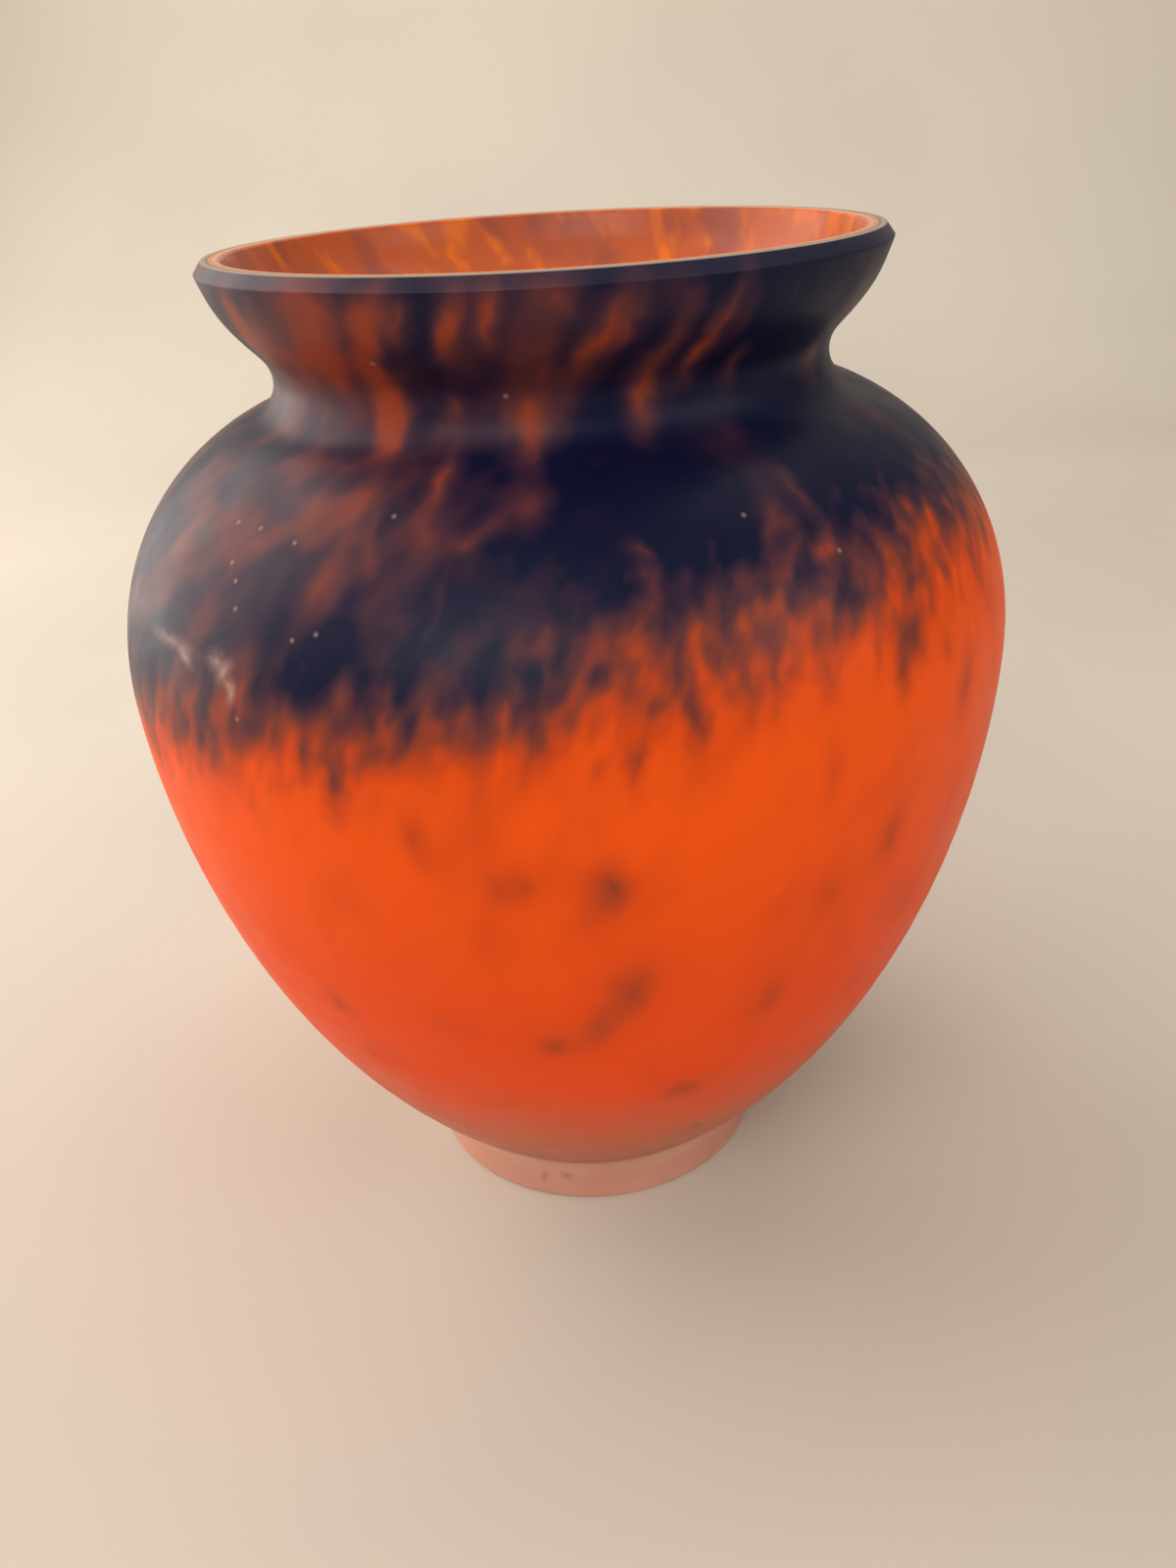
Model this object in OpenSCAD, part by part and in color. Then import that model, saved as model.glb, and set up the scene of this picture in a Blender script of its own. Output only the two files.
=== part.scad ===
// Hand blown cased glass vase: a clear frosted foot, a thick clear casing with
// a frosted skin, two thin coats of colour melted under it, and a lining.
// Every layer follows one outline, moved inwards by the depth of the layer.

/* [Overall] */
// Height from the resting face to the ground rim
vase_h = 240; // [200:1:300]
// Diameter at the widest part of the belly
belly_d = 209.4; // [180:0.2:250]
// Height of the widest part of the belly
belly_z = 151.4; // [125:0.2:170]

/* [Foot] */
// Diameter of the foot
foot_d = 92.6; // [76:0.2:112]
// Height at which the foot's wall and the body's side would meet
foot_h = 12.7; // [10:0.1:18]
// Radius of the hollow fillet between foot and body
foot_fillet_r = 7.9; // [5:0.1:10]
// Ground chamfer around the resting face
foot_chamfer = 0.6; // [0.3:0.1:1.5]
// Diameter of the polished hollow where the iron was cracked off
pontil_d = 46; // [30:1:60]
// Depth of that hollow
pontil_depth = 2.5; // [1:0.1:4]

/* [Body] */
// Lean of the side where it leaves the foot, from upright
body_lean = 45; // [40:0.5:50]
// Share of the body's height over which it keeps that lean
body_low_pull = 0.5; // [0.4:0.01:0.6]
// Share of the body's height over which the belly stays upright below
body_high_pull = 0.17; // [0.1:0.01:0.3]
// Share of the shoulder's height over which the belly stays upright above
shoulder_low_pull = 0.55; // [0.4:0.01:0.65]
// Share of the shoulder's width over which it keeps its slope to the neck
shoulder_high_pull = 0.52; // [0.4:0.01:0.65]
// Slope of the shoulder where it meets the neck, from upright
shoulder_lean = 69.7; // [60:0.1:75]

/* [Neck] */
// Diameter at the bottom of the neck's groove
neck_d = 124.8; // [105:0.2:145]
// Depth of the groove's bottom below the rim
flare_h = 25.1; // [21:0.1:31]
// Radius of the groove
neck_groove_r = 8.3; // [6:0.1:10]
// Lean of the flare where it leaves the groove, from upright
flare_lean = 43.6; // [36:0.1:50]

/* [Lip] */
// Diameter at the lip's outer corner
lip_d = 150.2; // [140:0.2:175]
// Lean of the flare at the lip, from upright
lip_lean = 18.7; // [10:0.1:30]
// Share of the flare's height over which it keeps the groove's lean
flare_low_pull = 0.66; // [0.5:0.01:0.8]
// Share of the flare's height over which it keeps the lip's lean
flare_high_pull = 0.43; // [0.3:0.01:0.6]
// Height of the ground bevel outside the rim
bevel_h = 2.5; // [1:0.1:4]
// Width of that bevel, across the rim
bevel_w = 1.9; // [1:0.1:3]
// Size of the fine chamfer on the rim's inner edge
inner_chamfer = 0.6; // [0.3:0.1:1]

/* [Glass layers] */
// Thickness of the clear casing at the rim
casing_t = 3.6; // [3:0.1:5]
// Thickness of the navy coat at the rim
navy_t = 0.5; // [0.3:0.1:1]
// Thickness of the orange coat at the rim
orange_t = 0.8; // [0.5:0.1:1.5]
// Thickness of the lining at the rim
lining_t = 1.4; // [1:0.1:3]
// Share of the wall that the blowing takes away at mid height
wall_thinning = 0.3; // [0:0.05:0.4]
// Thickness of the floor under the hollow, above the foot
floor_t = 8; // [6:0.5:14]

/* [Colour edges] */
// Height of the navy coat's lower edge at the axis
navy_edge_z = 172; // [160:1:185]
// Slope of that edge, from level
navy_edge_tilt = 10.8; // [0:0.1:15]
// Heading of the edge's high side, from +X
navy_edge_heading = -20; // [-180:1:180]
// Count of tongues that run down from the edge
tongue_count = 18; // [8:1:24]
// Mean width of a tongue
tongue_w = 11; // [6:0.5:14]
// Mean length of a tongue
tongue_l = 10; // [4:0.5:16]
// Height where the orange coat starts
orange_edge_z = 58; // [50:1:80]

/* [Hidden] */
$fn = 96;

BODY_STEPS = 18;        // flats along the body's side
SHOULDER_STEPS = 14;    // flats along the shoulder
NECK_STEPS = 10;        // flats round the neck's groove
FLARE_STEPS = 8;        // flats along the flare
CORNER_STEPS = 6;       // flats round the corner of the floor
CORNER_RISE = 1.5;      // height of that corner, for each millimetre of depth
OVERBLOW = 10;          // length blown past the rim, then ground away

wall_t = casing_t + navy_t + orange_t + lining_t;
navy_depth = casing_t;
orange_depth = navy_depth + navy_t;
lining_depth = orange_depth + orange_t;

foot_r = foot_d / 2;
belly_r = belly_d / 2;
lip_r = lip_d / 2;
lip_z = vase_h - bevel_h;
neck_z = vase_h - flare_h;
reach = belly_r + OVERBLOW;
core_r = belly_r / 2;   // always well inside the hollow where the colours lie

// Unit step along a side that leans outwards by a from upright
function lean(a) = [sin(a), cos(a)];

// Foot fillet: it touches the upright wall below the corner and the side above it
fillet_leg = foot_fillet_r * tan(body_lean / 2);
foot_wall_top = foot_h - fillet_leg;
seat = [foot_r, foot_h] + fillet_leg * lean(body_lean);

// Neck groove: centre, and where the shoulder and the flare run into it
groove_centre = [neck_d / 2 + neck_groove_r, neck_z];
function groove_point(a) = groove_centre + neck_groove_r * [-cos(a), sin(a)];
groove_low = groove_point(-shoulder_lean);
groove_high = groove_point(flare_lean);

// The three curved stretches, each as end, handle, handle, end
belly = [belly_r, belly_z];
body_rise = belly_z - seat[1];
shoulder_rise = groove_low[1] - belly_z;
shoulder_run = belly_r - groove_low[0];
lip = [lip_r, lip_z];
flare_rise = lip_z - groove_high[1];
body_curve = [
    seat,
    seat + body_low_pull * body_rise * lean(body_lean),
    belly - [0, body_high_pull * body_rise],
    belly];
shoulder_curve = [
    belly,
    belly + [0, shoulder_low_pull * shoulder_rise],
    groove_low - shoulder_high_pull * shoulder_run * lean(-shoulder_lean),
    groove_low];
flare_curve = [
    groove_high,
    groove_high + flare_low_pull * flare_rise * lean(flare_lean),
    lip - flare_high_pull * flare_rise * lean(lip_lean),
    lip];

// Place and heading on such a curve, t from 0 to 1
function on_curve(c, t) =
    pow(1 - t, 3) * c[0] + 3 * pow(1 - t, 2) * t * c[1]
    + 3 * (1 - t) * t * t * c[2] + pow(t, 3) * c[3];
function along_curve(c, t) =
    pow(1 - t, 2) * (c[1] - c[0]) + 2 * (1 - t) * t * (c[2] - c[1]) + t * t * (c[3] - c[2]);

// A place moved into the glass, square to its heading; the wall is thinnest half way up
function wall_share(z) = 1 - wall_thinning * pow(sin(180 * (z - seat[1]) / (vase_h - seat[1])), 2);
function inwards(p, heading, depth) =
    p + depth * wall_share(p[1]) * [-heading[1], heading[0]] / norm(heading);

function curve_points(c, steps, depth) =
    [for (i = [1:steps]) let (t = i / steps) inwards(on_curve(c, t), along_curve(c, t), depth)];

// The whole side from the seat up past the rim, at a depth in the glass
function side(depth) = concat(
    [inwards(seat, lean(body_lean), depth)],
    curve_points(body_curve, BODY_STEPS, depth),
    curve_points(shoulder_curve, SHOULDER_STEPS, depth),
    [for (i = [1:NECK_STEPS])
        let (a = -shoulder_lean + (shoulder_lean + flare_lean) * i / NECK_STEPS)
        inwards(groove_point(a), lean(a), depth)],
    curve_points(flare_curve, FLARE_STEPS, depth),
    [inwards(lip, lean(lip_lean), depth) + OVERBLOW * lean(lip_lean)]);

// Floor of a hollow at a depth, with a round corner up into the side
function floor_z(depth) = seat[1] + floor_t * depth / wall_t;
function corner_at(depth, p) = [p[0] - (p[1] - floor_z(depth)) * tan(body_lean), floor_z(depth)];
function floor_corner(depth, p) =
    let (corner = corner_at(depth, p), leg = norm(p - corner))
    [for (i = [0:CORNER_STEPS - 1]) let (t = i / CORNER_STEPS)
        pow(1 - t, 2) * (corner - [leg, 0]) + 2 * (1 - t) * t * corner + t * t * p];

// Solid of everything inside the surface at a depth, blown past the rim
module cup_2d(depth) {
    kept = [for (p = side(depth)) if (depth == 0 || p[1] > floor_z(depth) + CORNER_RISE * depth) p];
    corner = depth == 0 ? [] : floor_corner(depth, kept[0]);
    top = kept[len(kept) - 1];
    polygon(concat([[0, top[1]], [0, floor_z(depth)]], corner, kept));
}

// What the grinding wheel leaves: the flat rim and its outer bevel
module ground_2d() {
    polygon([
        [0, 0], [reach, 0], [reach, lip_z], [lip_r, lip_z],
        [lip_r - bevel_w, vase_h], [0, vase_h]]);
}

// A layer between two depths, cut off at the rim
module layer_2d(outer_depth, inner_depth) {
    intersection() {
        difference() {
            cup_2d(outer_depth);
            cup_2d(inner_depth);
        }
        ground_2d();
    }
}

module above_2d(z) {
    translate([0, z]) square([reach, vase_h]);
}

// Height of the navy edge's plane at an angle, on the belly
function edge_z(a) = navy_edge_z + belly_r * tan(navy_edge_tilt) * cos(a - navy_edge_heading);

// A flat shape pushed out through the wall at a heading and a height
module radial_bar(a, z) {
    rotate([0, 0, a])
        translate([core_r, 0, z])
            rotate([90, 0, 90])
                linear_extrude(reach) children();
}

// How far the tongues stray from even: share of their spacing, width and length
TONGUE_STRAY = 0.2;
TONGUE_W_SPREAD = 0.25;
TONGUE_L_SPREAD = 0.5;

// Space that the navy coat fills: above the slanted edge, with tongues running down
module navy_space() {
    rotate([0, 0, navy_edge_heading])
        translate([0, 0, navy_edge_z])
            rotate([0, -navy_edge_tilt, 0])
                translate([-2 * reach, -2 * reach, 0])
                    cube([4 * reach, 4 * reach, vase_h]);
    for (i = [0:tongue_count - 1]) {
        a = 360 / tongue_count * (i + TONGUE_STRAY * sin(250 * i));
        w = tongue_w * (1 + TONGUE_W_SPREAD * sin(140 * i));
        l = tongue_l * (1 + TONGUE_L_SPREAD * sin(205 * i));
        radial_bar(a, edge_z(a))
            polygon([[-w / 2, w / 2], [-w / 2, 0], [0, -l], [w / 2, 0], [w / 2, w / 2]]);
    }
}

// Loose grains of the navy glass that rolled on lower down: heading, height, width
GRAINS = [
    [-87, 137, 6], [-98, 138, 5], [-84, 108, 8], [-95, 93, 8], [-107, 147, 5],
    [-125, 95, 7], [-109, 98, 6], [-66, 98, 9], [-53, 130, 8], [-77, 74, 9],
    [-20, 112, 8], [15, 132, 6], [48, 96, 8], [80, 125, 7], [112, 104, 9],
    [145, 135, 6], [178, 92, 8]];

module grain_space() {
    for (g = GRAINS)
        radial_bar(g[0], g[1]) circle(d = g[2]);
}

module navy_layer() {
    rotate_extrude() layer_2d(navy_depth, orange_depth);
}

module foot() {
    hollow_r = (pow(pontil_d / 2, 2) + pow(pontil_depth, 2)) / (2 * pontil_depth);
    color([0.80, 0.58, 0.50, 0.8])
        difference() {
            rotate_extrude()
                difference() {
                    polygon([
                        [0, 0], [foot_r - foot_chamfer, 0], [foot_r, foot_chamfer],
                        [foot_r, foot_wall_top], seat, [0, seat[1]]]);
                    translate([foot_r + foot_fillet_r, foot_wall_top]) circle(r = foot_fillet_r);
                }
            translate([0, 0, pontil_depth - hollow_r]) sphere(r = hollow_r);
        }
}

module clear_casing() {
    color([0.85, 0.82, 0.80, 0.35])
        difference() {
            rotate_extrude()
                difference() {
                    intersection() {
                        cup_2d(0);
                        ground_2d();
                    }
                    cup_2d(lining_depth);
                    intersection() {
                        cup_2d(orange_depth);
                        above_2d(orange_edge_z);
                    }
                }
            intersection() {
                rotate_extrude() cup_2d(navy_depth);
                union() {
                    navy_space();
                    grain_space();
                }
            }
        }
}

module navy_coat() {
    color([0.08, 0.08, 0.20])
        intersection() {
            navy_layer();
            navy_space();
        }
}

module navy_grains() {
    color([0.25, 0.10, 0.18])
        intersection() {
            navy_layer();
            grain_space();
        }
}

module orange_coat() {
    color([0.93, 0.32, 0.06])
        rotate_extrude()
            intersection() {
                layer_2d(orange_depth, lining_depth);
                above_2d(orange_edge_z);
            }
}

module orange_lining() {
    rim_bore_r = lip_r + bevel_h * tan(lip_lean) - wall_t / cos(lip_lean);
    color([0.76, 0.37, 0.21])
        rotate_extrude()
            difference() {
                layer_2d(lining_depth, wall_t);
                translate([rim_bore_r, vase_h])
                    rotate(45) square(inner_chamfer * sqrt(2), center = true);
            }
}

foot();
clear_casing();
navy_coat();
navy_grains();
orange_coat();
orange_lining();
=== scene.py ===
# %% [markdown]
# # A blown glass vase, from the frame to the finish
# A glassblower builds this vase in layers on one iron. A bubble of terracotta lining is rolled in
# orange powder, then its upper part in navy powder, and a thick clear gather goes over it all.
# It is blown out, a clear foot is fused on, the rim is ground flat and acid turns the skin satin.
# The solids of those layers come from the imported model, which is loaded first and never changed.
# This file gives the layers that show finer meshes, and gives every layer its finish.

# %% Load the frame
import math
import random

import bpy
from mathutils import Matrix, Vector, noise
from mathutils.bvhtree import BVHTree


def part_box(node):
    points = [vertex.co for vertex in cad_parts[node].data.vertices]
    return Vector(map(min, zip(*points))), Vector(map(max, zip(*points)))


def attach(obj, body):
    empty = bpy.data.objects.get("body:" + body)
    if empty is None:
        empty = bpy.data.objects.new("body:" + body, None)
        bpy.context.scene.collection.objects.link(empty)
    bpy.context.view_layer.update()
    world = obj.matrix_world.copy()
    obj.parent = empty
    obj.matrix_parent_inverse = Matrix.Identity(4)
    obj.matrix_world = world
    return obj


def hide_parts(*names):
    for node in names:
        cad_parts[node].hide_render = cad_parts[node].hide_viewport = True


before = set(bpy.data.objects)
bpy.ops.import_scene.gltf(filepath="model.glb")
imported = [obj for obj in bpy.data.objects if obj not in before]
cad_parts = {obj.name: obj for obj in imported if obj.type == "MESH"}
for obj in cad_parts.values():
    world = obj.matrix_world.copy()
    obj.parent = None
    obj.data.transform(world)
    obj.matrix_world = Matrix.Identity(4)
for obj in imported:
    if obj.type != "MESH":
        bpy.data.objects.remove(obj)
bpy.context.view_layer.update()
MM = 0.001
VASE_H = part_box("clear_casing")[1].z
SEAT_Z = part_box("clear_casing")[0].z
BELLY_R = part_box("clear_casing")[1].x
print(f"vase {VASE_H / MM:.1f} mm high, belly radius {BELLY_R / MM:.1f} mm")
print(f"the foot meets the casing at {SEAT_Z / MM:.1f} mm")

# %% [markdown]
# ## The camera
# The vase is seen from a little above, close up, with a phone-like wide lens that is rolled by a
# few degrees. A camera could be aimed with a constraint, but a roll is easier to read when its
# three axes are worked out from a heading, a pitch and a roll, so the axes are built by hand.
# Closeness matters as much as the angle: it is what makes the rim look wide and the foot small.

# %% Place the camera
CAMERA_PLACE = Vector((0.0, -302.4, 263.2)) * MM
CAMERA_HEADING = math.radians(0.52)
CAMERA_PITCH = math.radians(27.79)
CAMERA_ROLL = math.radians(-3.32)
SENSOR_HEIGHT = 36       # mm
LENS = 29.25             # mm, which on this sensor is as wide as a phone's lens
NEAREST = 10 * MM        # nothing closer to the camera than this is drawn


def camera_axes(heading, pitch, roll):
    """Right, up and backward axes of a camera that looks along +Y at heading and pitch zero."""
    ahead = Vector((math.sin(heading), math.cos(heading), 0))
    level = Vector((math.cos(heading), -math.sin(heading), 0))
    forward = ahead * math.cos(pitch) - Vector((0, 0, math.sin(pitch)))
    upright = level.cross(forward)
    right = level * math.cos(roll) + upright * math.sin(roll)
    up = upright * math.cos(roll) - level * math.sin(roll)
    return right, up, -forward


camera = bpy.data.objects.new("camera", bpy.data.cameras.new("camera"))
axes = Matrix(camera_axes(CAMERA_HEADING, CAMERA_PITCH, CAMERA_ROLL)).transposed().to_4x4()
camera.matrix_world = Matrix.Translation(CAMERA_PLACE) @ axes
camera.data.sensor_fit = "VERTICAL"
camera.data.sensor_height = SENSOR_HEIGHT
camera.data.lens = LENS
camera.data.clip_start = NEAREST
bpy.context.scene.collection.objects.link(camera)
bpy.context.scene.camera = camera
print("camera", [round(c, 3) for c in camera.location], f"lens {camera.data.lens} mm")

# %% [markdown]
# ## Reading the outline
# Every layer is a body of revolution, so its shape is one outline of radius against height.
# The outline could be typed in again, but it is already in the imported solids: the flats of the
# design meet in corners, and each corner is a ring of vertices. A corner belongs to the outside
# when a ray sent straight out from it hits nothing more of the same solid, to the inside when a
# ray towards the axis hits nothing, and to the underside when a ray down hits nothing. Corners
# lower than the bottom of the hollow inside can't be seen from inside, so they don't count there.

# %% Find the corners that show from one side
CLEARANCE = 0.05 * MM    # how far off the surface a test ray starts
SAME_RING = 5            # decimals of a metre to which two corners are one ring


def corners(node, way):
    """Corners (r, z) of a CAD node that are free on the way "out", "in" or "down"."""
    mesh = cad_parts[node].data
    places = [v.co.copy() for v in mesh.vertices]
    tree = BVHTree.FromPolygons(places, [tuple(p.vertices) for p in mesh.polygons])
    down = Vector((0, 0, -1))
    bottom = tree.ray_cast(Vector((MM, MM, 2 * VASE_H)), down)[0]
    rings = {}
    for place in places:
        radius = Vector((place.x, place.y)).length
        rings.setdefault((round(radius, SAME_RING), round(place.z, SAME_RING)), place)
    free = {}
    for (radius, height), place in rings.items():
        outward = Vector((place.x, place.y, 0)).normalized() if radius else Vector((1, 0, 0))
        ray = {"out": outward, "in": -outward, "down": down}[way]
        room = radius if way == "in" else VASE_H
        if way == "in" and bottom and height < bottom.z - CLEARANCE:
            continue
        if tree.ray_cast(place + ray * CLEARANCE, ray, room)[0] is not None:
            continue
        along, across = (radius, height) if way == "down" else (height, radius)
        best = max if way == "out" else min
        free[along] = best(free.get(along, across), across)
    if way == "down":
        return [Vector((r, free[r])) for r in sorted(free)]
    return [Vector((free[z], z)) for z in sorted(free)]


foot_under = corners("foot", "down")
foot_side = corners("foot", "out")
casing_side = corners("clear_casing", "out")
lining_inside = corners("orange_lining", "in")
lining_outside = corners("orange_lining", "out")
orange_outside = corners("orange_coat", "out")
navy_outside = corners("navy_coat", "out")
for name, found in (("foot under", foot_under), ("foot side", foot_side), ("casing side", casing_side),
                    ("lining inside", lining_inside), ("lining outside", lining_outside),
                    ("orange outside", orange_outside), ("navy outside", navy_outside)):
    ends = [f"({c.x / MM:.1f}, {c.y / MM:.1f})" for c in (found[0], found[-1])]
    print(f"{name}: {len(found)} corners, from {ends[0]} to {ends[1]} mm")

# %% [markdown]
# ## From corners to a smooth outline
# The corners lie on the true curve, with flats between them that would show as bands in the
# reflections. A subdivision surface would smooth the bands but also pull the shape inwards, off the
# corners. A curve that passes through every corner keeps the size: each flat becomes a short
# cubic whose ends point the way a circle through three neighbouring corners does. Where the design
# turns sharply, at the bevel or a chamfer, the curve stays sharp and gets a tiny worn round.

# %% Draw a smooth curve through corners
SHARP_TURN = math.radians(25)    # a sharper turn than this stays a corner
WORN_STEPS = 4           # flats across a worn edge


def bend_at(before, after):
    """The curve's heading at a corner between two flats, or None where the turn is sharp."""
    if before.angle(after) > SHARP_TURN:
        return None
    return (before.normalized() * after.length + after.normalized() * before.length).normalized()


def mirrored(heading, flat):
    """The heading at a flat's other end, if the flat is the chord of an arc."""
    along = flat.normalized()
    return 2 * heading.dot(along) * along - heading


def smooth(points, spacing):
    """Points on a smooth curve through the given ones, about spacing apart."""
    flats = [b - a for a, b in zip(points, points[1:])]
    bends = [None] + [bend_at(a, b) for a, b in zip(flats, flats[1:])] + [None]
    fine = [points[0]]
    for start, flat, leave, arrive in zip(points, flats, bends, bends[1:]):
        leave_by = leave or (mirrored(arrive, flat) if arrive else flat.normalized())
        arrive_by = arrive or (mirrored(leave, flat) if leave else flat.normalized())
        steps = max(1, round(flat.length / spacing))
        for step in range(1, steps + 1):
            t = step / steps
            blend = 3 * t * t - 2 * t ** 3
            fine.append(start + flat * blend
                        + leave_by * flat.length * (t ** 3 - 2 * t * t + t)
                        + arrive_by * flat.length * (t ** 3 - t * t))
    return fine


def soften(points, radius):
    """The same outline with its sharp corners worn round."""
    worn = [points[0]]
    for before, corner, after in zip(points, points[1:], points[2:]):
        if bend_at(corner - before, after - corner):
            worn.append(corner)
            continue
        start = corner + (before - corner).normalized() * radius
        end = corner + (after - corner).normalized() * radius
        for step in range(WORN_STEPS + 1):
            t = step / WORN_STEPS
            worn.append(start * (1 - t) ** 2 + corner * 2 * t * (1 - t) + end * t * t)
    return worn + [points[-1]]


FINE = 1.6 * MM          # length of a flat on the fine outline
outside = smooth(foot_side + casing_side[1:], FINE)
foot_outside = [p for p in outside if p.y <= SEAT_Z + CLEARANCE]
casing_outside = [p for p in outside if p.y >= SEAT_Z - CLEARANCE]
print(f"outside: {len(outside)} points, widest {max(p.x for p in outside) / MM:.2f} mm")

# %% [markdown]
# ## Turning an outline into glass
# A Screw modifier could spin the outline, but a mesh made ring by ring gives control of three
# things: a closed solid with one vertex at each pole, a tidy unwrapped map of heading against
# length for baking, and the slight unevenness of hand work. Blown glass is never a perfect
# circle, so the skin wanders inwards by up to a fifth of a millimetre, a few fingers apart.

# %% Spin an outline into a closed solid
SEGMENTS = 300
WANDER = 0.2 * MM        # how far the hand blown skin strays, always inwards
WANDER_REACH = 55 * MM   # how far apart its high and low places are
WANDER_EASE = 10 * MM    # over what height it begins above the floor and ends below the rim
TURNED_EDGE = math.radians(30)   # a sharper turn than this is shaded as an edge


def wander(radius, heading, height):
    """Radius of the hand blown skin at a place; the ground rim and foot stay true."""
    calm = min(1.0, height / WANDER_EASE, (VASE_H - height) / WANDER_EASE)
    place = Vector((radius * math.cos(heading), radius * math.sin(heading), height))
    return radius - WANDER * calm * (0.5 + 0.5 * noise.noise(place / WANDER_REACH))


def spin(name, loop, skin=()):
    """A closed solid turned from a loop that starts and ends on the axis; skin points wander."""
    lengths = [0.0]
    for a, b in zip(loop, loop[1:]):
        lengths.append(lengths[-1] + (b - a).length)
    wandering = {(p.x, p.y) for p in skin}
    places, rows = [], []
    for point in loop:
        count = SEGMENTS if point.x > CLEARANCE / 10 else 1
        rows.append([len(places) + i % count for i in range(SEGMENTS + 1)])
        for i in range(count):
            heading = math.tau * i / SEGMENTS
            strays = (point.x, point.y) in wandering
            radius = wander(point.x, heading, point.y) if strays else point.x
            places.append((radius * math.cos(heading), radius * math.sin(heading), point.y))
    faces, marks = [], []
    for k, (low, high) in enumerate(zip(rows, rows[1:])):
        for i in range(SEGMENTS):
            ring = ((low[i], i, k), (low[i + 1], i + 1, k),
                    (high[i + 1], i + 1, k + 1), (high[i], i, k + 1))
            kept = [c for n, c in enumerate(ring) if c[0] not in [d[0] for d in ring[:n]]]
            faces.append([c[0] for c in kept])
            marks.append([(c[1] / SEGMENTS, lengths[c[2]] / lengths[-1]) for c in kept])
    mesh = bpy.data.meshes.new(name)
    mesh.from_pydata(places, [], faces)
    chart = mesh.uv_layers.new(name="OFBake")
    for spot, mark in zip(chart.data, [m for face in marks for m in face]):
        spot.uv = mark
    mesh.polygons.foreach_set("use_smooth", [True] * len(faces))
    mesh.set_sharp_from_angle(angle=TURNED_EDGE)
    piece = bpy.data.objects.new(name, mesh)
    bpy.context.scene.collection.objects.link(piece)
    print(f"{name}: {len(places)} vertices, {len(faces)} faces")
    return piece


def on_axis(height):
    """A point of an outline on the axis."""
    return Vector((0, height))


# %% [markdown]
# ## The foot, the casing and the lining
# The foot is a disc of clear glass with a polished hollow under it, where the iron was broken off.
# The casing's inner side is simply the outer side of whatever lies against it: the navy coat
# near the rim, the orange coat below, and the lining under that. The lining is the pale
# terracotta bubble that the vase began as, and it shows inside the mouth and on the cut rim.

# %% Make the foot
WORN = 0.25 * MM         # radius of a worn edge
HOLLOW_FINE = 2 * MM     # length of a flat in the polished hollow
resting_r = foot_side[0].x
hollow = smooth([c for c in foot_under if c.x < resting_r - MM], HOLLOW_FINE)
foot_loop = hollow + soften([hollow[-1]] + foot_outside, WORN)[1:] + [on_axis(SEAT_Z)]
foot = spin("frosted_foot", foot_loop, foot_outside)

# %% Make the casing
ALL_NAVY_Z = 200 * MM    # above this the navy coat goes all the way round
orange_low = orange_outside[0].y
casing_inside = (
    [c for c in lining_outside if c.y < orange_low]
    + [c for c in orange_outside if c.y < ALL_NAVY_Z]
    + [c for c in navy_outside if c.y >= ALL_NAVY_Z])
casing_rim = casing_inside[-1]
casing_skin = soften(casing_outside + [casing_rim], WORN)
casing_floor = on_axis(lining_outside[0].y)
casing_loop = [on_axis(SEAT_Z)] + casing_skin + casing_inside[-2::-1] + [casing_floor]
casing = spin("frosted_casing", casing_loop, casing_skin)

# %% Make the lining
floor_z = min(c.y for c in lining_inside)
lining_skin = soften([lining_outside[-1]] + smooth(lining_inside, FINE)[::-1], WORN)
lining_loop = [casing_floor] + lining_outside[:-1] + lining_skin + [on_axis(floor_z)]
lining = spin("lining", lining_loop)

# %% [markdown]
# ## Words for mixing a finish
# A finish is a tree of shader nodes. Made by hand in the editor it is a web of boxes; written in
# Python it reads like a recipe, as long as the long calls have short names. The recipe below
# measures places in millimetres of the vase itself, so a mark stays where it was put in every
# view, and the whole tree ends in one Principled shader, which other programs can read.

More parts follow.
